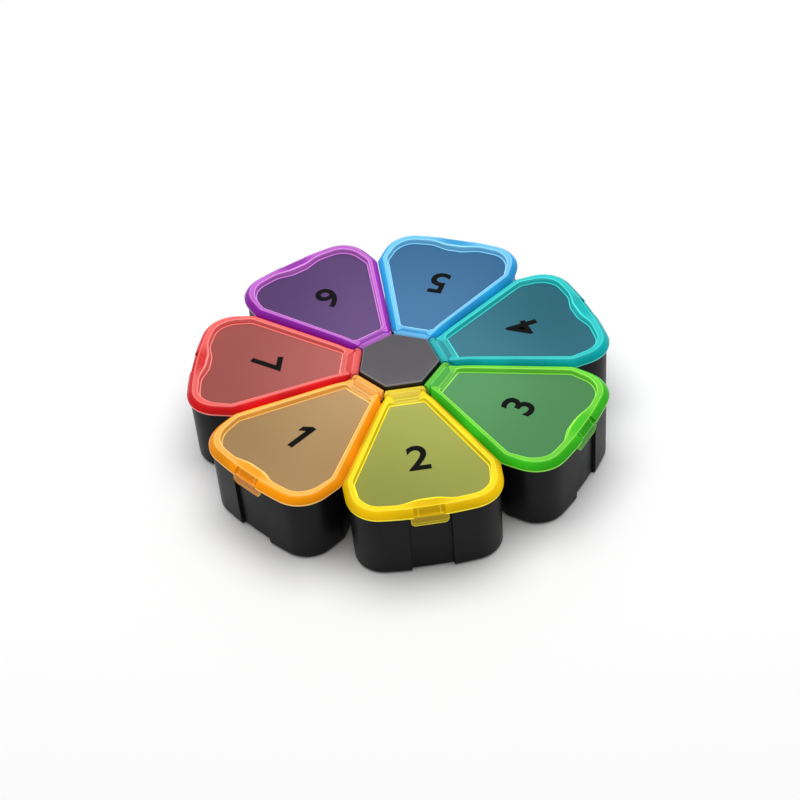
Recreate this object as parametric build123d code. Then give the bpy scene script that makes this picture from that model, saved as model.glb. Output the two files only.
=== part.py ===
from build123d import *
import math
import os

# Weekly pill box: seven petal-shaped pods plug into a seven-sided hub, and each pod has a hinged
# see-through lid with a thumb tab. Millimetres, +Z up, origin on the hub's axis at table level.

# Ring of pods
pod_count = 7
front_pod = 2               # this pod lies along -Y
ring_radius = 60.9          # hub axis to the crown of a lid's outer edge
crown_drop = 2.3            # how far that edge falls back between its crown and its corners
side_length = 13.4          # parallel stretch of a lid's side next to its outer corner
corner_radius = 9.5         # outer corners of a lid
side_gap = 0.4              # from a lid's side to the line between two sectors

# Hub
hub_apothem = 10.7          # axis to the middle of a facet
hub_wall = 1.8
hub_floor = 1.8
cap_seat_height = 18.5      # where the cap sits on the hub
cap_rise = 0.8              # cap's top above the lids' rims
cap_top_thickness = 2.2
cap_edge_bevel = 0.6
cap_plug_depth = 3.0        # cap's collar that reaches down into the hub
cap_plug_wall = 1.4
cap_plug_clearance = 0.1

# Pods
pod_height = 20.9
pod_inset = 0.8             # overhang of the lid all round
pod_wall = 1.8
pod_floor = 1.6
pod_hub_gap = 0.25
foot_bevel = 1.0            # bottom edge of a pod
finger_recess_width = 12.4  # full-height channel in the outer wall, under the tab
finger_recess_depth = 1.0
tongue_width = 6.0          # tongue that plugs into the hub's window
tongue_height = 6.0
tongue_drop = 5.0           # from the table to the underside of the tongue
tongue_depth = 3.2          # how far it reaches behind the hub's facet
tongue_bevel = 0.8
tongue_clearance = 0.2

# Lids
lid_seat_gap = 0.15         # between a lid and the top of its pod's wall
rim_height = 2.45
rim_width = 3.6
rim_bevel = 1.2             # outer shoulder of the rim
panel_thickness = 0.95      # clear panel inside the rim
rim_start = 14.6            # reach at which the rim begins
panel_start = 18.1          # reach at which the sunk panel begins
bridge_step = 0.4           # flat bridge between hinge and panel, above the panel
lip_depth = 1.3             # locating lip under the panel
lip_thickness = 0.9
lip_clearance = 0.3

# Hinges
barrel_radius = 1.1
barrel_hub_gap = 0.5        # between a barrel and the hub's facet
barrel_end_gap = 0.12       # between a barrel's end and an ear
hinge_rise = 1.4            # hinge axis above the underside of the lid
ear_radius = 1.05
ear_thickness = 0.6         # at the hinge axis
ear_foot_drop = 9.0         # how far an ear's root runs down the pod's wall
pin_radius = 0.5
pin_end_recess = 0.06       # pin's ends inside the outer faces of the ears
pin_barrel_clearance = 0.05
pin_ear_clearance = 0.02

# Thumb tabs
tab_width = 9.2             # notch in the rim's shoulder
tab_setback = 1.1
tab_back_gap = 0.2          # behind the tab, in the finger recess
tab_drop = 1.9              # lip's lowest edge below the lid
tab_lip_width = 10.9
tab_lip_reach = 1.5         # lip's edge beyond the lid's crown
tab_lip_fall = 0.6          # slope of the lip, from its root to its edge
tab_lip_thickness = 0.7
tab_lip_corner = 1.5
pad_width = 18.0            # thumb pad, where the rim swells into the panel
pad_depth = 2.6
pad_blend = 5.0
pad_step = 0.3              # pad's inner edge above the panel
scoop_radius = 30.0         # hollow across the pad, which falls from the rim towards the panel

# Cuts run past the faces that they open by this much
overrun = 1.0

# Worked out from the sizes above
sector = 360 / pod_count
slope = math.tan(math.radians(sector / 2))
lean = math.cos(math.radians(sector / 2))
corner_reach = ring_radius - crown_drop
bend_reach = corner_reach - side_length
lid_half_width = bend_reach * slope - side_gap / lean
crown_radius = (lid_half_width ** 2 + crown_drop ** 2) / (2 * crown_drop)
crown_centre = ring_radius - crown_radius
pod_start = hub_apothem + pod_hub_gap
recess_reach = ring_radius - pod_inset - finger_recess_depth
lid_base = pod_height + lid_seat_gap
panel_top = lid_base + panel_thickness
rim_top = lid_base + rim_height
cap_top = rim_top + cap_rise
hinge_reach = hub_apothem + barrel_hub_gap + barrel_radius
hinge_height = lid_base + hinge_rise


def half_width_at(reach, inset):
    """Half the width of a sector at a distance from the hub's axis, less its gap and an inset."""
    return reach * slope - (side_gap + inset) / lean


ear_inner_face = half_width_at(hinge_reach, 0) - ear_thickness
barrel_length = 2 * (ear_inner_face - barrel_end_gap)
pin_length = 2 * (half_width_at(hinge_reach - pin_radius, 0) - pin_end_recess)


def petal(inset, start):
    """Petal outline from start out to the crown, moved in all round by inset."""
    half_width = lid_half_width - inset
    bend = (half_width + (side_gap + inset) / lean) / slope
    corner = crown_centre + math.sqrt((crown_radius - inset) ** 2 - half_width ** 2)
    root = half_width_at(start, inset)
    sides = Polyline(
        (corner, -half_width),
        (bend, -half_width),
        (start, -root),
        (start, root),
        (bend, half_width),
        (corner, half_width),
    )
    crown = ThreePointArc((corner, half_width), (ring_radius - inset, 0), (corner, -half_width))
    outline = make_face([sides, crown])
    return fillet(outline.vertices().sort_by(Axis.X)[-2:], corner_radius - inset)


def block(reach_low, reach_high, width, low, high):
    """Block between two reaches and two heights, centred on the pod's own axis."""
    size = (reach_high - reach_low, width, high - low)
    middle = ((reach_low + reach_high) / 2, 0, (low + high) / 2)
    return Pos(*middle) * Box(*size)


def crosswise(radius, length):
    """Cylinder on the hinge axis, across the pod."""
    return Pos(hinge_reach, 0, hinge_height) * Rot(90, 0, 0) * Cylinder(radius, length)


def raised(outline, low, high):
    """Outline made solid between two heights."""
    return Pos(0, 0, low) * extrude(outline, high - low)


def heptagon(apothem):
    """Seven-sided outline with a facet towards every pod."""
    turn = -90 - sector / 2
    return Rot(0, 0, turn) * RegularPolygon(apothem, pod_count, major_radius=False)


def pod_angle(number):
    """Direction of a pod, counted round the ring."""
    return -90 + (number - front_pod) * sector


def make_hub():
    """Seven-sided cup with a window in every facet for a pod's tongue."""
    hub = raised(heptagon(hub_apothem), 0, cap_seat_height)
    hub -= raised(heptagon(hub_apothem - hub_wall), hub_floor, cap_seat_height + overrun)
    window = block(
        hub_apothem - hub_wall - overrun,
        hub_apothem + overrun,
        tongue_width + 2 * tongue_clearance,
        tongue_drop - tongue_clearance,
        tongue_drop + tongue_height + tongue_clearance,
    )
    for number in range(pod_count):
        hub -= Rot(0, 0, pod_angle(number)) * window
    return hub


def make_hub_cap():
    """Bevelled seven-sided cap on a hollow skirt, with a collar that plugs into the hub."""
    cap = raised(heptagon(hub_apothem), cap_seat_height, cap_top)
    cap = chamfer(cap.faces().sort_by(Axis.Z)[-1].edges(), cap_edge_bevel)
    collar = hub_apothem - hub_wall - cap_plug_clearance
    cap += raised(heptagon(collar), cap_seat_height - cap_plug_depth, cap_seat_height + overrun)
    bore = heptagon(collar - cap_plug_wall)
    return cap - raised(bore, cap_seat_height - cap_plug_depth - overrun, cap_top - cap_top_thickness)


def make_ears():
    """Two hinge ears that rise beside the barrel, on roots that run down the pod's side walls."""
    ear_start = hinge_reach - ear_radius
    ear_end = hinge_reach + ear_radius
    span = 2 * half_width_at(ear_end, 0)
    post = block(ear_start, ear_end, span, pod_height - ear_foot_drop, hinge_height)
    post += crosswise(ear_radius, span)
    root_gap = 2 * half_width_at(ear_end, pod_inset + pod_wall)
    post -= block(ear_start - overrun, ear_end + overrun, root_gap, 0, pod_height)
    post -= block(ear_start - overrun, ear_end + overrun, 2 * ear_inner_face, pod_height, rim_top + overrun)
    return post & raised(petal(0, pod_start), 0, rim_top + overrun)


def make_pod():
    """Open-topped compartment with hinge ears, a tongue for the hub and a finger recess."""
    pod = raised(petal(pod_inset, pod_start), 0, pod_height)
    pod = chamfer(pod.faces().sort_by(Axis.Z)[0].edges(), foot_bevel)
    pod -= raised(petal(pod_inset + pod_wall, pod_start + pod_wall), pod_floor, pod_height + overrun)
    pod -= block(recess_reach, ring_radius, finger_recess_width, -overrun, pod_height + overrun)
    pod += make_ears()
    pod -= crosswise(pin_radius + pin_ear_clearance, ring_radius)
    tongue = block(
        hub_apothem - tongue_depth,
        pod_start + pod_wall / 2,
        tongue_width,
        tongue_drop,
        tongue_drop + tongue_height,
    )
    tongue = chamfer(tongue.faces().sort_by(Axis.X)[0].edges(), tongue_bevel)
    return pod + tongue


def make_panel_outline():
    """Edge of the sunk panel, bulged inwards at the crown by the thumb pad."""
    edge = ring_radius - rim_width
    pad_radius = (pad_width ** 2 / 4 + pad_depth ** 2) / (2 * pad_depth)
    pad = Pos(edge - pad_depth + pad_radius, 0) * Circle(pad_radius)
    outline = petal(rim_width, panel_start) - pad
    pad_ends = outline.vertices().sort_by_distance((ring_radius, 0, 0))[:2]
    return fillet(pad_ends, pad_blend)


def make_scoop():
    """Round cutter on a slope, from nothing at the rim's shoulder down to the pad's inner edge."""
    inner = ring_radius - rim_width - pad_depth
    outer = ring_radius - rim_bevel
    low = panel_top + pad_step
    tilt = math.atan2(rim_top - low, outer - inner)
    centre = (
        (inner + outer) / 2 - scoop_radius * math.sin(tilt),
        0,
        (low + rim_top) / 2 + scoop_radius * math.cos(tilt),
    )
    cutter = Cylinder(scoop_radius, math.hypot(rim_top - low, outer - inner))
    return Pos(*centre) * Rot(0, 90 - math.degrees(tilt), 0) * cutter


def make_tab():
    """Thumb tab: a neck that drops from the rim's notch, and a lip that flares out below."""
    back = recess_reach + tab_back_gap
    front = ring_radius - tab_setback
    tip = ring_radius + tab_lip_reach
    tip_low = lid_base - tab_drop
    tip_high = tip_low + tab_lip_thickness
    profile = Polyline(
        (back, panel_top),
        (back, tip_low + tab_lip_fall),
        (tip - tab_lip_thickness, tip_low),
        (tip, tip_high),
        (front, tip_high + tab_lip_fall),
        (front, panel_top),
        close=True,
    )
    tab = extrude(make_face(Plane.XZ * profile), tab_lip_width / 2, both=True)
    shoulder = (tab_lip_width - tab_width) / 2
    for side in (-1, 1):
        corner = Pos(0, side * (tab_width + shoulder) / 2, 0)
        tab -= corner * block(back - overrun, tip, shoulder, lid_base, rim_top)
    plan = Pos((back + tip) / 2 - overrun, 0) * RectangleRounded(
        tip - back + 2 * overrun, tab_lip_width, tab_lip_corner
    )
    return tab & raised(plan, 0, rim_top)


def make_bridge_outline():
    """Plan of the flat bridge, from the hinge to the panel's inner edge."""
    hinge_half = barrel_length / 2
    panel_half = half_width_at(panel_start, rim_width)
    return make_face(
        Polyline(
            (hinge_reach, -hinge_half),
            (panel_start, -panel_half),
            (panel_start, panel_half),
            (hinge_reach, hinge_half),
            close=True,
        )
    )


def make_lid():
    """Rimmed lid with a sunk clear panel, a locating lip, a hinge barrel and a thumb tab."""
    lid = raised(petal(0, rim_start), lid_base, rim_top)
    lid = chamfer(lid.faces().sort_by(Axis.Z)[-1].edges(), rim_bevel)
    lid -= raised(make_panel_outline(), panel_top, rim_top + overrun)
    lid -= make_scoop()

    notch = ring_radius - tab_setback
    lid -= block(notch, ring_radius + overrun, tab_width, lid_base - overrun, rim_top + overrun)
    lid += make_tab()

    lip_inset = pod_inset + pod_wall + lip_clearance
    lip = petal(lip_inset, rim_start) - petal(lip_inset + lip_thickness, rim_start + lip_thickness)
    lid += raised(lip, lid_base - lip_depth, lid_base + panel_thickness / 2)

    bridge = make_bridge_outline()
    bridge_top = panel_top + bridge_step
    lid -= raised(bridge, bridge_top, rim_top + overrun)
    lid += raised(bridge, lid_base, bridge_top)
    lid += crosswise(barrel_radius, barrel_length)
    return lid - crosswise(pin_radius + pin_barrel_clearance, ring_radius)


def make_pin():
    """Plain round pin through a lid's barrel and its pod's two ears."""
    return crosswise(pin_radius, pin_length)


os.makedirs("parts", exist_ok=True)
export_step(make_hub(), "parts/hub.step")
export_step(make_hub_cap(), "parts/hub_cap.step")
pod = make_pod()
lid = make_lid()
pin = make_pin()
for number in range(1, pod_count + 1):
    place = Rot(0, 0, pod_angle(number))
    export_step(place * pod, f"parts/pod_{number}.step")
    export_step(place * lid, f"parts/lid_{number}.step")
    export_step(place * pin, f"parts/hinge_pin_{number}.step")
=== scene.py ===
import math
import bpy
import numpy as np
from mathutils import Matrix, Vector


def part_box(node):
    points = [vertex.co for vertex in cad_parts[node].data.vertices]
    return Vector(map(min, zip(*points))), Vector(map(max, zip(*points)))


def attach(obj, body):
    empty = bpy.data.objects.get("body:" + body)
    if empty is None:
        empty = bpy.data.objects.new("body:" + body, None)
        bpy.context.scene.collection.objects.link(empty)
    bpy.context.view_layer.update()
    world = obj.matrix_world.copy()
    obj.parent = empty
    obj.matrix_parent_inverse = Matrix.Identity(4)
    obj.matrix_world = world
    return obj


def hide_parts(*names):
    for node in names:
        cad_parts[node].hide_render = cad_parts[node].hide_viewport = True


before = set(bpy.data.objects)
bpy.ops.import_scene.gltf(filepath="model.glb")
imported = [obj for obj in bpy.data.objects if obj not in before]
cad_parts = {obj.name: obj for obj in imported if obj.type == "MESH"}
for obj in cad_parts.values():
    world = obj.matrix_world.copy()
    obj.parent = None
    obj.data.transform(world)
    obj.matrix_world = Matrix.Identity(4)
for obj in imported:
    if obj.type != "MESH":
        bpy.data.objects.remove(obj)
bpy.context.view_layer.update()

# Hub: a seven-sided cup moulded in black plastic. The pods plug into its windows, so it only
# shows when they are pulled away. Its finish is a satin black with a faint moulded grain.
mm = 0.001


class Wire:
    """A shader socket that takes Python's operators. Each operator adds one Math node."""

    def __init__(self, paint, socket):
        self.paint = paint
        self.socket = socket

    def maths(self, operation, first, second):
        """One Math node on two values or Wires."""
        return self.paint.node("ShaderNodeMath", {"operation": operation}, {0: first, 1: second})

    def __add__(self, other):
        return self.maths("ADD", self, other)

    def __radd__(self, other):
        return self.maths("ADD", other, self)

    def __mul__(self, other):
        return self.maths("MULTIPLY", self, other)

    def __rmul__(self, other):
        return self.maths("MULTIPLY", other, self)


class Paint:
    """One material, or the world: its tree, its own shader, and the one method that makes nodes."""

    def __init__(self, name, world=None):
        self.material = world or bpy.data.materials.new(name)
        self.material.use_nodes = True
        self.tree = self.material.node_tree
        self.shader = self.tree.nodes["Background" if world else "Principled BSDF"]

    def node(self, kind, settings, inputs, output=0):
        """Adds a node, sets its settings, then fills or links its sockets. Gives one output as a Wire."""
        made = self.tree.nodes.new(kind)
        for key, value in settings.items():
            setattr(made, key, value)
        for key, value in inputs.items():
            self.feed(made.inputs[key], value)
        return Wire(self, made.outputs[output])

    def feed(self, socket, value):
        """Links a Wire to a socket, or sets the socket's own value."""
        if isinstance(value, Wire):
            self.tree.links.new(value.socket, socket)
        else:
            socket.default_value = value

    def set(self, **inputs):
        """Sets or links the shader's own sockets, with _ for a space in their names."""
        for key, value in inputs.items():
            self.feed(self.shader.inputs[key.replace("_", " ")], value)

    def place(self):
        """Where the point lies on the object."""
        return self.node("ShaderNodeTexCoord", {}, {}, "Object")

    def away(self):
        """How far the point lies from the foot of the hub's axis."""
        return self.node("ShaderNodeVectorMath", {"operation": "LENGTH"}, {0: self.place()}, "Value")

    def noise(self, scale, detail=2.0):
        """Cloudy pattern from 0 to 1."""
        sockets = {"Vector": self.place(), "Scale": scale, "Detail": detail}
        return self.node("ShaderNodeTexNoise", {}, sockets)

    def ramp(self, value, low, high, easing="LINEAR"):
        """0 at low and 1 at high, and held beyond them."""
        return self.node("ShaderNodeMapRange", {"interpolation_type": easing}, {0: value, 1: low, 2: high})

    def blend(self, share, first, second):
        """Mixes two colours by a share from 0 to 1."""
        sockets = {"Factor": share, 6: first, 7: second}
        return self.node("ShaderNodeMix", {"data_type": "RGBA"}, sockets, 2)

    def grain(self, depth):
        """Fine spark-eroded grain of the mould, as relief of the given depth."""
        sockets = {"Height": self.noise(4200, 1.0), "Distance": depth, "Strength": 1.0}
        return self.node("ShaderNodeBump", {}, sockets)


def srgb(red, green, blue):
    """Screen colour, 0 to 255, as the linear colour that a shader takes."""
    screen = np.array([red, green, blue]) / 255
    linear = np.where(screen <= 0.04045, screen / 12.92, ((screen + 0.055) / 1.055) ** 2.4)
    return (*linear.tolist(), 1.0)


def scaled(colour, share, lift=0.0):
    """A colour made deeper or brighter by a share, then lifted towards white."""
    return tuple(share * part + lift for part in colour[:3]) + (1.0,)


def moulded_black(name, colour, dull, grain_depth):
    """Moulded plastic: slightly uneven colour and gloss, with a fine grain."""
    paint = Paint(name)
    cloud = paint.noise(55)
    paint.set(
        Base_Color=paint.blend(cloud, colour, scaled(colour, 1.5)),
        Roughness=dull + 0.1 * cloud,
        Normal=paint.grain(grain_depth),
        Specular_IOR_Level=0.16,
    )
    return paint.material


def finish_node(node, material):
    """Puts one material on a node of the frame."""
    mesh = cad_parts[node].data
    mesh.materials.clear()
    mesh.materials.append(material)


finish_node("hub", moulded_black("hub_black", srgb(20, 20, 21), 0.45, 0.02 * mm))

# Hub cap: a seven-sided satin grey plug pressed into the top of the hub, with a softened edge
# all round, on which a thin pale line of highlight is painted.
hub_sides = 7
half_sector = math.pi / hub_sides
cap_low, cap_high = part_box("hub_cap")
front_apothem = -cap_low.y


def heptagon(apothem, corner, steps=5):
    """Seven-sided loop: each corner is an arc of the given radius, tangent to both facets."""
    middles = -math.pi / 2 + half_sector + 2 * half_sector * np.arange(hub_sides)
    sweep = np.linspace(-half_sector, half_sector, steps)
    centre_reach = (apothem - corner) / math.cos(half_sector)
    angles = middles[:, None] + sweep[None, :]
    x = centre_reach * np.cos(middles)[:, None] + corner * np.cos(angles)
    y = centre_reach * np.sin(middles)[:, None] + corner * np.sin(angles)
    return np.stack([x, y], -1).reshape(-1, 2)


def at_height(loop, height):
    """Flat loop lifted to a height."""
    return np.column_stack([loop, np.full(len(loop), height)])


def skin(rows):
    """Closed surface over rows of looped points, with a fan to the middle at each end, facing out.

    Its faces face out when the six-fold volume under them, summed from the origin, is positive.
    """
    rows = np.asarray(rows, float)
    count, width, _ = rows.shape
    points = np.concatenate([rows.reshape(-1, 3), rows[0].mean(0)[None], rows[-1].mean(0)[None]])
    here = np.arange(width)
    beside = (here + 1) % width
    start = width * np.arange(count - 1)[:, None]
    end = width * (count - 1)
    top = np.stack([np.full(width, count * width), here, beside], -1)
    bottom = np.stack([np.full(width, count * width + 1), end + beside, end + here], -1)
    fans = np.concatenate([top, bottom])
    quads = np.stack([start + here, start + width + here, start + width + beside, start + beside], -1)
    quads = quads.reshape(-1, 4)
    a, b, c = points[np.concatenate([fans, quads[:, :3], quads[:, [0, 2, 3]]])].transpose(1, 0, 2)
    if np.einsum("ij,ij->i", a, np.cross(b, c)).sum() < 0:
        quads, fans = quads[:, ::-1], fans[:, ::-1]
    return points, quads, fans


def make_piece(name, shells, material, body, tints=None, crease=30):
    """One mesh from closed shells, shaded smooth below the crease angle, riding on a body."""
    mesh = bpy.data.meshes.new(name)
    starts = np.cumsum([0] + [len(points) for points, _, _ in shells])
    points = np.concatenate([points for points, _, _ in shells])
    quads = np.concatenate([start + quads for start, (_, quads, _) in zip(starts, shells)])
    fans = np.concatenate([start + fans for start, (_, _, fans) in zip(starts, shells)])
    mesh.from_pydata(points.tolist(), [], quads.tolist() + fans.tolist())
    for tint, values in (tints or {}).items():
        mesh.attributes.new(tint, "FLOAT", "POINT").data.foreach_set("value", np.concatenate(values))
    mesh.polygons.foreach_set("use_smooth", np.ones(len(quads) + len(fans), bool))
    mesh.set_sharp_from_angle(angle=math.radians(crease))
    mesh.materials.append(material)
    piece = bpy.data.objects.new(name, mesh)
    bpy.context.scene.collection.objects.link(piece)
    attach(piece, body)
    return piece


def quarter(first, last, flat_first, steps=6):
    """Quarter ellipse of pairs from first to last, which leaves first flat or else upright."""
    turn = np.linspace(0, math.pi / 2, steps)
    early, late = np.sin(turn), 1 - np.cos(turn)
    across, up = (early, late) if flat_first else (late, early)
    reach = [first[0] + (last[0] - first[0]) * share for share in across]
    height = [first[1] + (last[1] - first[1]) * share for share in up]
    return list(zip(reach, height))


def cap_rows():
    """Top face, softened edge, skirt, seat, collar and hollow of the cap, as loops from the top down."""
    soft, corner = 0.55 * mm, 0.8 * mm
    collar_wall, collar_step, seat = 1.4 * mm, 1.9 * mm, cap_low.z + 3 * mm
    collar = front_apothem - collar_step
    bore = collar - collar_wall
    bore_top = cap_high.z - 2.2 * mm
    profile = [(front_apothem / 2, cap_high.z)]
    profile += quarter((front_apothem - soft, cap_high.z), (front_apothem, cap_high.z - soft), True)
    profile += [(front_apothem, seat), (collar, seat), (collar, cap_low.z)]
    profile += [(bore, cap_low.z), (bore, bore_top), (front_apothem / 2, bore_top)]
    return [at_height(heptagon(reach, corner), height) for reach, height in profile]


cap_paint = Paint("cap_satin_grey")
cloud = cap_paint.noise(70)
height = cap_paint.node("ShaderNodeSeparateXYZ", {}, {0: cap_paint.place()}, 2)
# A thin band on the softened edge is painted pale as a highlight, and the skirt under it is coloured
# near-black.
skirt_to_top = cap_paint.ramp(height, cap_high.z - 0.42 * mm, cap_high.z - 0.3 * mm)
painted_edge_highlight = cap_paint.ramp(height, cap_high.z - 0.02 * mm, cap_high.z - 0.08 * mm)
top_tone = cap_paint.blend(cloud, srgb(52, 49, 55), srgb(62, 59, 65))
top_tone = cap_paint.blend(0.5 * painted_edge_highlight, top_tone, srgb(150, 148, 154))
cap_paint.set(
    Base_Color=cap_paint.blend(skirt_to_top, srgb(8, 8, 9), top_tone),
    Roughness=0.38 + 0.1 * cloud,
    Normal=cap_paint.grain(0.02 * mm),
)
cap = make_piece("hub_cap_shell", [skin(cap_rows())], cap_paint.material, "hub")
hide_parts("hub_cap")

# Pods: seven petal-shaped open boxes in satin black plastic. Each has a rounded foot, a shallow
# finger channel down its outer wall, and a tongue that plugs into a window of the hub.
pod_numbers = range(1, hub_sides + 1)
front_pod = 2
ring_radius = 60.9 * mm
crown_drop = 2.3 * mm
side_length = 13.4 * mm
corner_radius = 9.5 * mm
side_gap = 0.4 * mm
bend_reach = ring_radius - crown_drop - side_length
petal_half = bend_reach * math.tan(half_sector) - side_gap / math.cos(half_sector)
crown_radius = (petal_half ** 2 + crown_drop ** 2) / (2 * crown_drop)
crown_centre = ring_radius - crown_radius
corner_side = petal_half - corner_radius
corner_chord = 0.4 * mm
crown_half = crown_radius * corner_side / (crown_radius - corner_radius) - corner_chord
crown_reach = 0.9 * ring_radius


def half_width_at(reach, inset):
    """Half the width of a petal's sector at a reach, less its gap and an inset."""
    return reach * math.tan(half_sector) - (side_gap + inset) / math.cos(half_sector)


def mitre(first, second):
    """Direction in which a corner moves when both of its sides move inwards by one."""
    return np.add(first, second) / (1 + np.dot(first, second))


def petal(start, root_places, crown_places, side_places=()):
    """Petal outline and the way that each of its points moves when the outline shrinks.

    A point of the outline that is inset by d is place + d * inward. The loop runs across the root
    from left to right, out along a straight side, over a corner's arc and the crown's arc, and back
    in the same way. Bends are cut by a short chord.
    """
    slant = np.array([math.sin(half_sector), math.cos(half_sector)])
    along = np.array([math.cos(half_sector), -math.sin(half_sector)])
    root_half = half_width_at(start, 0)
    root = np.array([(start, root_half)] + [(start, side) for side in root_places] + [(start, -root_half)])
    root_in = np.column_stack([np.ones(len(root)), -root[:, 1] / root_half * mitre(slant, (1, 0))[1]])

    chord = 0.7 * mm
    bend = np.array([bend_reach, -petal_half])
    bend_in = mitre(slant, (0, 1))
    cut = np.array([bend - chord * along, bend + 0.1 * chord * bend_in, bend + (chord, 0)])
    corner_reach = crown_centre + math.sqrt((crown_radius - corner_radius) ** 2 - corner_side ** 2)
    arc = np.linspace(-math.pi / 2, -math.atan2(corner_side, corner_reach - crown_centre), 18)
    out = np.column_stack([np.cos(arc), np.sin(arc)])
    straight = np.array([(reach, -half_width_at(reach, 0)) for reach in side_places]).reshape(-1, 2)
    right = np.concatenate([straight, cut, (corner_reach, -corner_side) + corner_radius * out])
    right_in = np.concatenate([np.tile(slant, (len(straight), 1)), np.tile(bend_in, (3, 1)), -out])

    crown = np.column_stack([crown_centre + np.sqrt(crown_radius ** 2 - crown_places ** 2), crown_places])
    crown_in = ((crown_centre, 0) - crown) / crown_radius
    mirror = (1, -1)
    place = np.concatenate([root, right, crown, right[::-1] * mirror])
    inward = np.concatenate([root_in, right_in, crown_in, right_in[::-1] * mirror])
    return place, inward


def carried(outline, profile):
    """Loops of a profile carried round an outline: (inset, height) pairs of numbers or of arrays."""
    place, inward = outline
    whole = np.ones(len(place))
    return [
        np.column_stack([place + (inset * whole)[:, None] * inward, height * whole])
        for inset, height in profile
    ]


def turned(points, number):
    """Points in a petal's own reach, side and height, turned to its place in the ring."""
    turn = -math.pi / 2 + (number - front_pod) * 2 * half_sector
    x = points[:, 0] * math.cos(turn) - points[:, 1] * math.sin(turn)
    y = points[:, 0] * math.sin(turn) + points[:, 1] * math.cos(turn)
    return np.column_stack([x, y, points[:, 2]])


def turned_shells(shells, number):
    """Shells of a petal turned to its place in the ring."""
    return [(turned(points, number), quads, fans) for points, quads, fans in shells]


def stepped(half_length, edges, spacing):
    """Places from -half_length to half_length, with a near-upright step at each of the edges."""
    ramp = 0.05 * mm
    places = np.concatenate([np.arange(0, half_length, spacing), [half_length]])
    for edge in edges:
        places = places[np.abs(places - edge) > 2 * ramp]
        places = np.concatenate([places, [edge - ramp, edge + ramp]])
    return np.unique(np.concatenate([-places, places]))


pod_top = 20.9 * mm
pod_inset = 0.8 * mm
pod_wall = 1.8 * mm
pod_start = front_apothem + 0.25 * mm
channel_half = 5.85 * mm
channel_depth = 1.0 * mm


def pod_shell():
    """Foot, outer wall, top edge, inside wall, coved corner and floor, as loops from below."""
    foot, soft, cove, floor = 1.1 * mm, 0.3 * mm, 2.0 * mm, 1.6 * mm
    root_half = half_width_at(pod_start, 0)
    outline = petal(
        pod_start - pod_inset,
        np.linspace(root_half, -root_half, 9)[1:-1],
        stepped(crown_half, [channel_half], 2 * mm),
    )
    channel = (outline[0][:, 0] > crown_reach) & (np.abs(outline[0][:, 1]) < channel_half)
    outer = pod_inset + channel_depth * channel
    inner = pod_inset + pod_wall
    profile = [(outer + 3 * foot, 0)]
    profile += quarter((outer + foot, 0), (outer, foot), True)
    profile += quarter((outer, pod_top - soft), (outer + soft, pod_top), False, 4)
    profile += quarter((inner - soft, pod_top), (inner, pod_top - soft), True, 4)
    profile += quarter((inner, floor + cove), (inner + cove, floor), False)
    return skin(carried(outline, profile))


hinge_reach, hinge_height = 12.3 * mm, 22.45 * mm
ear_radius = 1.08 * mm
root_depth = 9 * mm


def flanks(face, inner):
    """Two mirrored shells, lofted from an upright face at an inner side out to the petal's sides."""
    across = (np.full(len(face), inner), half_width_at(face[:, 0], 0))
    return [
        skin([np.column_stack([face[:, 0], sign * side, face[:, 1]]) for side in across])
        for sign in (-1, 1)
    ]


def root_shells():
    """Two blocks at the pod's inner corners, under the ears."""
    low, near, far = pod_top - root_depth, hinge_reach - ear_radius, hinge_reach + ear_radius
    block = np.array([(far, low), (far, pod_top), (near, pod_top), (near, low)])
    return flanks(block, half_width_at(near, pod_inset + pod_wall))


def tongue_shell():
    """Bevelled tongue, lofted from inside the pod's wall to its nose behind the hub's facet."""
    half_width, low, height, bevel, nose = 3 * mm, 5 * mm, 6 * mm, 0.8 * mm, 3.2 * mm
    reaches = [pod_start + pod_wall / 2, front_apothem - nose + bevel, front_apothem - nose]
    rows = []
    for reach, trim in zip(reaches, (0, 0, bevel)):
        side, bottom, top = half_width - trim, low + trim, low + height - trim
        rows.append([(reach, side, bottom), (reach, side, top), (reach, -side, top), (reach, -side, bottom)])
    return skin(rows)


pod_black = moulded_black("pod_satin_black", srgb(8, 8, 11), 0.36, 0.012 * mm)
for number in pod_numbers:
    shells = turned_shells([pod_shell(), *root_shells(), tongue_shell()], number)
    pod = make_piece(f"pod_{number}_shell", shells, pod_black, f"pod_{number}")
    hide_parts(f"pod_{number}")

# Hinge pins: short drawn-steel wires through each lid's barrel and its pod's two ears.
# Only their ends show, so the solids of the frame stay and take a bright metal finish.
pin_steel = Paint("pin_drawn_steel")
pin_steel.set(
    Base_Color=srgb(196, 196, 200),
    Metallic=1.0,
    Roughness=0.24 + 0.16 * pin_steel.noise(900),
)
for number in pod_numbers:
    finish_node(f"hinge_pin_{number}", pin_steel.material)

# Hinge ears: two to a pod, standing on its inner corners in the tint of its lid, so that the hinge
# reads as one coloured bar. Each lid colour is rim, painted highlight and panel: the pale highlight is
# painted along edges.
lid_colours = {
    1: ("orange", srgb(234, 142, 0), srgb(255, 208, 120), srgb(218, 178, 122)),
    2: ("yellow", srgb(222, 178, 0), srgb(255, 240, 56), srgb(196, 202, 98)),
    3: ("green", srgb(48, 176, 22), srgb(150, 232, 88), srgb(98, 173, 107)),
    4: ("teal", srgb(0, 156, 158), srgb(74, 222, 220), srgb(61, 138, 159)),
    5: ("blue", srgb(28, 148, 210), srgb(154, 222, 250), srgb(72, 134, 186)),
    6: ("purple", srgb(136, 26, 160), srgb(224, 144, 228), srgb(114, 82, 144)),
    7: ("red", srgb(206, 16, 22), srgb(255, 146, 140), srgb(213, 115, 109)),
}
tint_keys = ("painted_highlight", "clear", "solid")


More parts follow.
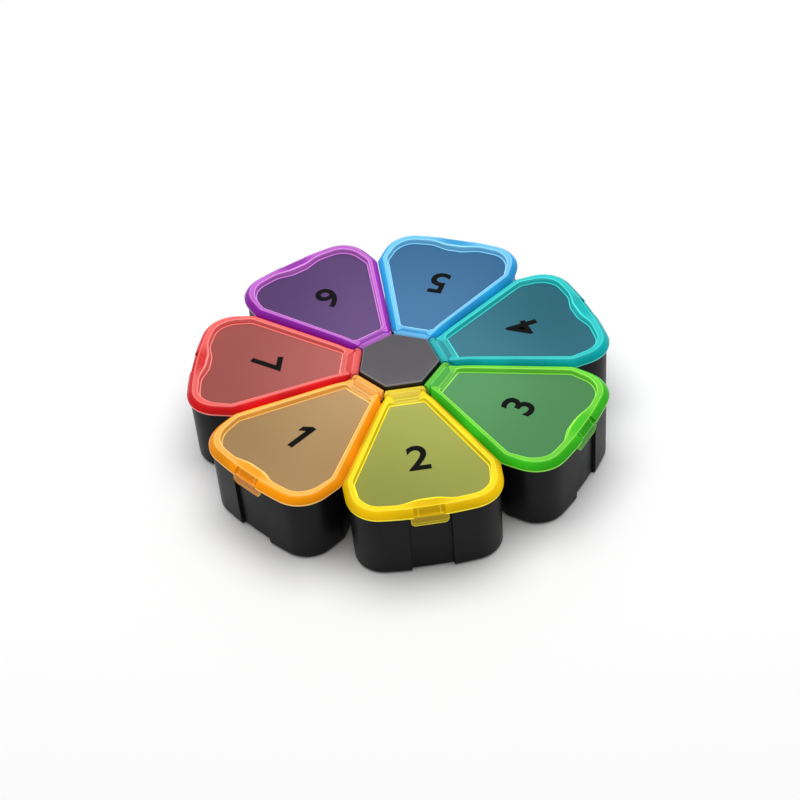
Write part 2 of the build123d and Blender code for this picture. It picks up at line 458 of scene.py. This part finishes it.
def ear_shells():
    """Two round-topped ears that stand on the pod's roots and hold the pin."""
    thickness = 0.66 * mm
    turn = np.linspace(0, math.pi, 13)
    reach, height = hinge_reach + ear_radius * np.cos(turn), hinge_height + ear_radius * np.sin(turn)
    ear = np.column_stack([reach, height])
    feet = [(hinge_reach - ear_radius, pod_top), (hinge_reach + ear_radius, pod_top)]
    return flanks(np.concatenate([ear, feet]), half_width_at(hinge_reach, 0) - thickness)


def tinted(name, rim, edge, panel):
    """See-through tinted plastic: deep in the rim, with painted highlights and a painted glow, and smoky in
    the thin panel, where light and reflection are painted in.

    Three attributes of the mesh steer it: the painted highlight turns the rim's tint to the edge's pale
    highlight colour, clear turns both to the panel's, and solid is how much of what lies behind is hidden.
    """
    paint = Paint(name)
    painted_highlight, clear, solid = (
        paint.node("ShaderNodeAttribute", {"attribute_name": key}, {}, "Fac") for key in tint_keys
    )
    # The panel's smoky tone is painted lighter towards the hub and in soft patches, as painted light and
    # painted reflection, between a shaded and a lit copy of its colour.
    cloud = paint.noise(26, 0.0)
    painted_reflection_patches = paint.ramp(cloud, 0.25, 0.75, "SMOOTHSTEP")
    painted_light_toward_hub = paint.ramp(paint.away(), 60 * mm, 24 * mm, "SMOOTHSTEP")
    shade, shine = scaled(panel, 0.6), scaled(panel, 0.95, 0.033)
    panel_tone_with_painted_light = paint.blend(0.35 * painted_reflection_patches + 0.65 * painted_light_toward_hub, shade, shine)
    # Along the rim, soft streaks of painted light run between a shaded (deep) and a lit (bright) copy of its
    # tint.
    painted_light_streak = paint.ramp(paint.noise(75, 0.0), 0.3, 0.7, "SMOOTHSTEP")
    deep, bright = scaled(rim, 0.78), scaled(rim, 1.06)
    tint = paint.blend(painted_highlight, paint.blend(painted_light_streak, deep, bright), edge)
    # The rim's tint is also given off as emission, a painted glow that lifts its shaded sides; the panel
    # gives off none.
    paint.set(
        Base_Color=paint.blend(clear, tint, panel_tone_with_painted_light),
        Alpha=solid,
        Roughness=0.14 + 0.1 * cloud,
        Specular_IOR_Level=0.08,
        Emission_Color=paint.blend(clear, tint, (0.0, 0.0, 0.0, 1.0)),
        Emission_Strength=0.18,
    )
    return paint.material


lid_plastic = {
    number: tinted(f"tinted_{name}", *colours) for number, (name, *colours) in lid_colours.items()
}


def hinge_tint(shell):
    """The same tint at every point of an ear or a barrel."""
    # Ears and barrel are painted a little paler all over, at one even share of painted highlight.
    painted_highlight, clear, solid = 0.3, 0.2, 0.95
    return shell, [np.full(len(shell[0]), share) for share in (painted_highlight, clear, solid)]


def tint_piece(name, tinted_shells, number, body):
    """One piece in a lid's tint, from pairs of a shell and its tints, turned to its place in the ring."""
    shells = turned_shells([shell for shell, _ in tinted_shells], number)
    tints = {key: [tint[k] for _, tint in tinted_shells] for k, key in enumerate(tint_keys)}
    return make_piece(name, shells, lid_plastic[number], body, tints, crease=35)


for number in pod_numbers:
    tint_piece(f"hinge_ears_{number}", [hinge_tint(ear) for ear in ear_shells()], number, f"pod_{number}")

# Lids: one moulding each in tinted see-through plastic, a broad round-shouldered rim about a thin
# sunk panel, with a bar that runs up to the hinge, and a thumb pad with a hanging flap at the crown.
lid_base = 21.05 * mm
panel_top = 22.0 * mm
rim_top = 23.5 * mm
rim_start = 13.68 * mm
foot_step = 0.1 * mm
painted_line_width = 0.27 * mm
barrel_radius = 1.1 * mm
barrel_half = 4.76 * mm
tab_half = 4.2 * mm
tab_inset = 0.3 * mm


def smooth(share):
    """Share held between 0 and 1 and eased at both ends."""
    share = np.clip(share, 0, 1)
    return share * share * (3 - 2 * share)


def lid_outline():
    """A lid's outline, the way its points move inwards, the rim's width there, and which are the root's.

    The petal grows a little along its sides, where neighbours nearly meet. The rim narrows from the
    crown to the root, and the points of the root aim at the panel's inner edge.
    """
    root_places = np.array([4.81, 4.72, 3.6, 2.4, 1.2, 0, -1.2, -2.4, -3.6, -4.72, -4.81]) * mm
    side_places = np.array([15, 16.5, 18, 20, 24, 30, 38]) * mm
    tab_places = stepped(tab_half - 0.06 * mm, [], 0.3 * mm)
    crown_places = np.unique(np.concatenate([stepped(crown_half, [tab_half], 0.6 * mm), tab_places]))
    place, inward = petal(rim_start, root_places, crown_places, side_places)

    growth, growth_end, growth_fade, crown_trim = 0.3 * mm, 54 * mm, 8 * mm, 0.02 * mm
    grown = growth * smooth((growth_end - place[:, 0]) / growth_fade) - crown_trim
    place = place - grown[:, None] * inward
    rim_reaches, rim_widths = [16.5 * mm, bend_reach, 56 * mm], [2.5 * mm, 3.0 * mm, 3.6 * mm]
    width = np.interp(place[:, 0], rim_reaches, rim_widths)

    root_reach, root_half = 13.43 * mm, 5.3 * mm
    aim_reach, aim_half = 17.1 * mm, 4.88 * mm
    corner_aim_reach, corner_aim_half = 17.35 * mm, 5.02 * mm
    root_end, near_end = 14 * mm, 15.5 * mm
    root = place[:, 0] < root_end
    near = (place[:, 0] < near_end) & ~root
    place[root, 0] = root_reach
    place[root, 1] = np.clip(place[root, 1], -root_half, root_half)
    ahead = np.where(near, corner_aim_reach, aim_reach)
    aside = np.where(near, corner_aim_half * np.sign(place[:, 1]), place[:, 1] * aim_half / root_half)
    aims = np.column_stack([ahead, aside])
    inward[root | near] = ((aims - place) / (width + foot_step + painted_line_width)[:, None])[root | near]
    return place, inward, width, root


def lid_shell():
    """Panel, inner wall, rim, shoulder, outer wall, underside and locating lip, as loops from the top.

    At the thumb pad the rim's flat top swells into the panel as an arch, at the tab its shoulder is
    cut by a slanted flat, and at the hinge it gives way to a bar that rises to the barrel. Each loop
    has its inset, its height and its three tints, painted highlight among them, as numbers or as
    arrays round the outline.
    """
    place, inward, width, root = lid_outline()
    side = np.abs(place[:, 1])
    whole = np.ones(len(place))
    bar = root & (side < barrel_half)
    on_bar = np.where(bar, 1.0, 0.0)
    crown = place[:, 0] > crown_reach
    tab = crown & (side < tab_half)
    pad_half, pad_fade, pad_foot, pad_brink = 8.8 * mm, 7.2 * mm, 1.75 * mm, 1.45 * mm
    pad = smooth((pad_half - side) / pad_fade) * crown
    # The tab's ribs are drawn only as lines of painted highlight.
    rib_side, rib_half, rib_painted_highlight = 3 * mm, 0.1 * mm, 0.35
    rib = np.where(tab & (np.abs(side - rib_side) < rib_half), rib_painted_highlight, 0.0)

    bar_low, bar_high, bar_rise = panel_top + 0.35 * mm, 23.1 * mm, 0.25 * mm
    slope_start, slope_length = 19 * mm, 6 * mm
    crest = rim_top - (rim_top - bar_high) * smooth((slope_start - place[:, 0]) / slope_length)
    corner_shoulder, most_shoulder, shoulder_share = 0.3 * mm, 1.8 * mm, 0.6
    shoulder = np.where(root & ~bar, corner_shoulder, np.minimum(most_shoulder, shoulder_share * width))
    wall_lean = 0.25 * mm
    foot = width + foot_step + pad_foot * pad
    brink = width - wall_lean + pad_brink * pad
    brink_height = np.where(bar, bar_low, crest)
    flat_height = np.where(bar, (bar_low + bar_high) / 2, crest)
    outlet = np.where(bar, (place[:, 0] - hinge_reach) / inward[:, 0], 0)
    rows, marks = [], []

    def add(inset, height, painted_highlight, clear, solid):
        """One more loop and its tints."""
        rows.append((inset * whole, height * whole))
        marks.append([painted_highlight * whole, clear * whole, solid * whole])

    dense, panel_solid, under_solid = 0.95, 0.72, 0.15
    bar_clear = 0.4 * on_bar
    # The rim's flat top and its brink are painted paler as painted highlight: over the thumb pad the flat
    # less and the brink more, on the bar the brink less.
    flat_painted_highlight = 0.4 - 0.3 * pad
    brink_painted_highlight = 0.7 - 0.3 * on_bar + 0.2 * pad
    # Panel's edge, and a line of painted highlight at the foot of the inner wall
    add(foot + painted_line_width, panel_top, 0, 1, panel_solid)
    add(foot + 0.85 * painted_line_width, panel_top, 1, 0, dense)
    add(foot, panel_top, 1, 0, dense)
    # Inner wall, its brink and the flat top of the rim: painted highlight lines at the brink and at the
    # shoulder's edge, and the flat painted paler
    add(foot - 0.05 * mm, panel_top + 0.25 * (brink_height - panel_top), 0.4, bar_clear, 0.9)
    add(brink + 0.12 * mm, brink_height - 0.15 * mm, 0.4, bar_clear, 0.92)
    add(brink + 0.04 * mm, brink_height - 0.06 * mm, 1 - 0.6 * on_bar, bar_clear, dense)
    add(brink - 0.2 * mm - 0.2 * mm * pad, brink_height, brink_painted_highlight, bar_clear, dense)
    add(brink - 0.27 * mm - 0.25 * mm * pad, brink_height, flat_painted_highlight, bar_clear, dense)
    add(shoulder + 0.24 * mm, flat_height, flat_painted_highlight, bar_clear, dense)
    add(shoulder + 0.16 * mm, flat_height, 0.65, bar_clear, dense)
    add(shoulder - 0.02 * mm, flat_height, 0.55, bar_clear, dense)
    # Round shoulder, with the slanted flat of the tab and the bar's rise to the barrel; painted highlight
    # lines run along the bar and down the tab's ribs
    arc = np.array(quarter((1, 0), (0, 1), True, 9)[1:])
    chord = np.column_stack([np.linspace(1, 0, 9), np.linspace(0, 1, 9)])[1:]
    tab_slant, tab_solid = 1.5 * mm, 0.68
    for share, drop in 0.55 * arc + 0.45 * chord:
        slope = np.where(tab, tab_inset + tab_slant * (1 - drop * shoulder / (rim_top - lid_base)), 0)
        reach = np.where(bar, shoulder * share - outlet * (1 - share), np.maximum(shoulder * share, slope))
        height = np.where(bar, bar_high + bar_rise * (1 - share), crest - drop * shoulder)
        bar_painted_line = 0.8 * on_bar * (0.2 < share < 0.3)
        see = np.where(tab, tab_solid + 0.24 * share ** 2 + 0.5 * rib, dense)
        add(reach, height, 0.1 * share ** 4 + rib + bar_painted_line, bar_clear, np.minimum(see, dense))
    # Outer wall with a painted highlight along its lower edge
    soft = 0.25 * mm
    outer = np.where(bar, -outlet, np.where(tab, tab_inset, 0))
    wall = np.where(tab, tab_solid + 0.5 * rib, dense)
    add(outer, lid_base + 3 * soft, np.where(tab, 0.05 + rib, 0.05), 0, wall)
    add(outer, lid_base + 2.2 * soft, np.where(tab, 0.1 + rib, 0.85), 0, wall)
    for inset, height in quarter((0, lid_base + soft), (soft, lid_base), False, 4):
        add(outer + inset, height, np.where(tab, 0.3, 1), 0, wall)
    # Underside, and the lip that locates the lid in its pod, faintly painted with highlight
    lip, lip_thickness, lip_depth = 2.0 * mm, 0.4 * mm, 1.3 * mm
    add(lip, lid_base, 0.2, 0.4, 0.6)
    add(lip, lid_base - lip_depth, 0.3, 0.5, 0.5)
    add(lip + lip_thickness, lid_base - lip_depth, 0.3, 0.5, 0.5)
    add(lip + lip_thickness, lid_base, 0.2, 0.8, 0.3)

    loops = carried((place, inward), rows)
    middle = np.array([38 * mm, 0, 0])
    for share in (0.93, 0.5):
        loops.insert(0, middle + (loops[0] - middle) * (share, share, 1))
        loops.append(middle + (loops[-1] - middle) * (share, share, 1))
        marks.insert(0, [0 * whole, whole, panel_solid * whole])
        marks.append([0 * whole, whole, under_solid * whole])
    ends = ((0, 0), (1, 1), (panel_solid, under_solid))
    return skin(loops), [np.concatenate([*(mark[k] for mark in marks), ends[k]]) for k in range(3)]


def barrel_shell():
    """Hinge barrel: circles along the hinge axis, drawn in at both rounded ends."""
    soft, steps = 0.12 * mm, 24
    turn = np.linspace(0, 2 * math.pi, steps, endpoint=False)
    ends = [(barrel_half, barrel_radius - soft), (barrel_half - soft, barrel_radius)]
    ends += [(-side, radius) for side, radius in ends[::-1]]
    rows = []
    for side, radius in ends:
        reach, height = hinge_reach + radius * np.cos(turn), hinge_height + radius * np.sin(turn)
        rows.append(np.column_stack([reach, np.full(steps, side), height]))
    return skin(rows)


def tab_shell():
    """Thumb flap: one profile carried across, in the pod's channel, from under the slanted flat.

    The profile runs down the back, round a bead at the low edge and up the front. The low edge rises
    at both ends along quarter circles, which round its corners.
    """
    half, corner, fall, bead = 5.1 * mm, 1.4 * mm, 3.15 * mm, 0.25 * mm
    top = ring_radius - tab_inset - 0.05 * mm
    front = top - 0.3 * mm
    back = front - 0.75 * mm
    across = half - corner * (1 - np.sin(np.linspace(0, math.pi / 2, 7)))
    across = np.concatenate([-across[::-1], across])
    past = np.clip(np.abs(across) - half + corner, 0, corner)
    low = lid_base - fall + corner - np.sqrt(corner ** 2 - past ** 2)

    beads_out = np.array([0, 0.8, 1, 1, 0.6, 0.2, 0.2])
    beads_up = np.array([1, 0, 0, 0.4, 1, 2.2, 3, 3.8, 4.3])
    reaches = np.concatenate([[back, back, back + bead], front + bead * beads_out, [top, top]])
    level = np.tile(lid_base + bead * np.array([2, -0.4, 2]), (len(across), 1))
    heights = np.column_stack([level[:, :1], low[:, None] + bead * beads_up, level[:, 1:]])
    rows = np.stack(np.broadcast_arrays(reaches, across[:, None], heights), -1)

    # Pale lines of painted highlight along the flap's bead and at both of its ends; the flap is less
    # see-through where they lie.
    painted_highlight = np.tile([0, 0, 0.2, 0.9, 1, 1, 0.1, 0.1, 0.8, 0.1, 0.1, 0.5], (len(rows), 1))
    painted_highlight[[0, 1, -2, -1], 2:11] = 0.9
    solid = 0.42 + 0.46 * painted_highlight
    shell = skin(rows)
    painted_highlight_marks = np.concatenate([painted_highlight.ravel(), (0.5, 0.5)])
    clear_marks = np.full(len(shell[0]), 0.25)
    solid_marks = np.concatenate([solid.ravel(), (0.7, 0.7)])
    return shell, [painted_highlight_marks, clear_marks, solid_marks]


for number in pod_numbers:
    parts = [lid_shell(), hinge_tint(barrel_shell()), tab_shell()]
    lid = tint_piece(f"lid_{number}_shell", parts, number, f"lid_{number}")
    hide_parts(f"lid_{number}")

# Numbers: one plain figure printed in raised black ink on each panel, with its head to the hub.
# The first gets a flag at its head, so that it can't be read as a bare stroke.
ink = Paint("print_black_ink")
ink.set(Base_Color=srgb(7, 7, 6), Roughness=0.6 + 0.1 * ink.noise(300), Specular_IOR_Level=0.05)
ink_low, ink_high = panel_top - 0.05 * mm, panel_top + 0.12 * mm
figure_reach = 39.0 * mm
figure_height = 9.5 * mm
for number in pod_numbers:
    text = bpy.data.curves.new(f"figure_{number}_outline", "FONT")
    text.body = str(number)
    text.extrude = 0.01
    text.offset = 0.015
    holder = bpy.data.objects.new(f"figure_{number}_outline", text)
    bpy.context.scene.collection.objects.link(holder)
    bpy.context.view_layer.update()
    mesh = bpy.data.meshes.new_from_object(holder)
    bpy.data.objects.remove(holder)
    points = np.empty(3 * len(mesh.vertices))
    mesh.vertices.foreach_get("co", points)
    points = points.reshape(-1, 3)
    low, high = points.min(0), points.max(0)
    points = (points - (low + high) / 2) * (figure_height / (high[1] - low[1]))
    height = np.where(points[:, 2] > 0, ink_high, ink_low)
    local = np.column_stack([figure_reach - points[:, 1], points[:, 0], height])
    mesh.vertices.foreach_set("co", turned(local, number).ravel())
    mesh.materials.clear()
    mesh.materials.append(ink.material)
    mesh.name = f"figure_{number}"
    figure = bpy.data.objects.new(f"figure_{number}", mesh)
    bpy.context.scene.collection.objects.link(figure)
    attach(figure, f"lid_{number}")

flag = np.array([(-0.5, 0.05), (-0.33, 0.29), (-0.13, 0.29), (-0.28, 0.05)]) * figure_height
flag_plan = np.column_stack([figure_reach + flag[:, 0], -flag[:, 1]])
flag_shell = skin([at_height(flag_plan, height) for height in (ink_low, ink_high)])
make_piece("figure_1_flag", turned_shells([flag_shell], 1), ink.material, "lid_1")

# Table and light: a white table that keeps the shadow near the box and turns to a plain white
# backdrop further out, a broad soft lamp overhead, a second one at the left, and even light all round.
table_reach, shadow_end, backdrop_start = 3.0, 0.12, 0.32
corners = table_reach * np.array([(-1, -1, 0), (1, -1, 0), (1, 1, 0), (-1, 1, 0)])
table = bpy.data.meshes.new("table")
table.from_pydata(corners.tolist(), [], [(0, 1, 2, 3)])
floor = bpy.data.objects.new("table", table)
bpy.context.scene.collection.objects.link(floor)


def seen(paint):
    """1 for a ray of the camera, also one passed on by gloss or clear plastic, and 0 for other light."""
    camera_ray, glossy_ray, passing_ray = (
        paint.node("ShaderNodeLightPath", {}, {}, f"Is {kind} Ray")
        for kind in ("Camera", "Glossy", "Transmission")
    )
    return camera_ray + glossy_ray + passing_ray


white = Paint("table_white")
white.set(Base_Color=(0.92, 0.92, 0.92, 1.0), Roughness=0.9, Specular_IOR_Level=0.0)
fade = white.ramp(white.away(), shadow_end, backdrop_start, "SMOOTHSTEP")
plain = white.node("ShaderNodeEmission", {}, {"Color": (1.0, 1.0, 1.0, 1.0), "Strength": 1.0})
lit_table = Wire(white, white.shader.outputs[0])
mixed = white.node("ShaderNodeMixShader", {}, {0: fade * seen(white), 1: lit_table, 2: plain})
white.feed(white.tree.nodes["Material Output"].inputs["Surface"], mixed)
table.materials.append(white.material)

even_light = 0.45
studio = Paint("studio", bpy.data.worlds.new("studio"))
studio.set(Color=(1.0, 1.0, 1.0, 1.0), Strength=even_light + (1 - even_light) * seen(studio))
bpy.context.scene.world = studio.material


def lamp(name, place, size, power):
    """Square soft lamp at a place, turned to face the box."""
    data = bpy.data.lights.new(name, "AREA")
    data.size = size
    data.energy = power
    made = bpy.data.objects.new(name, data)
    made.location = place
    x, y, z = place
    made.rotation_euler = (math.acos(z / math.hypot(x, y, z)), 0, math.atan2(-x, y))
    bpy.context.scene.collection.objects.link(made)


lamp("overhead", (0.05, 0.28, 0.9), 0.9, 8.8)
lamp("window", (-0.8, -0.1, 0.6), 0.8, 4.2)

# Camera: as the photograph was taken, 41 degrees above the table and a little to the left of the
# front pod, held with a slight roll.
elevation, azimuth, roll = math.radians(41.0), math.radians(-4.37), math.radians(-5.09)
distance = 511.9 * mm
aim = np.array([0, 0, panel_top])
level = math.cos(elevation)
back = np.array([math.sin(azimuth) * level, -math.cos(azimuth) * level, math.sin(elevation)])
right = np.array([math.cos(azimuth), math.sin(azimuth), 0])
rolled_right = math.cos(roll) * right + math.sin(roll) * np.cross(back, right)
rolled_up = np.cross(back, rolled_right)
lens = bpy.data.cameras.new("camera")
lens.sensor_width = 36
lens.lens = 79.9
lens.shift_x = 0.0012
lens.shift_y = -0.0434
lens.clip_start = 0.01
camera = bpy.data.objects.new("camera", lens)
pose = np.eye(4)
pose[:3] = np.column_stack([rolled_right, rolled_up, back, aim + distance * back])
camera.matrix_world = pose.T.tolist()
bpy.context.scene.collection.objects.link(camera)
bpy.context.scene.camera = camera
bpy.context.scene.view_settings.view_transform = "Standard"
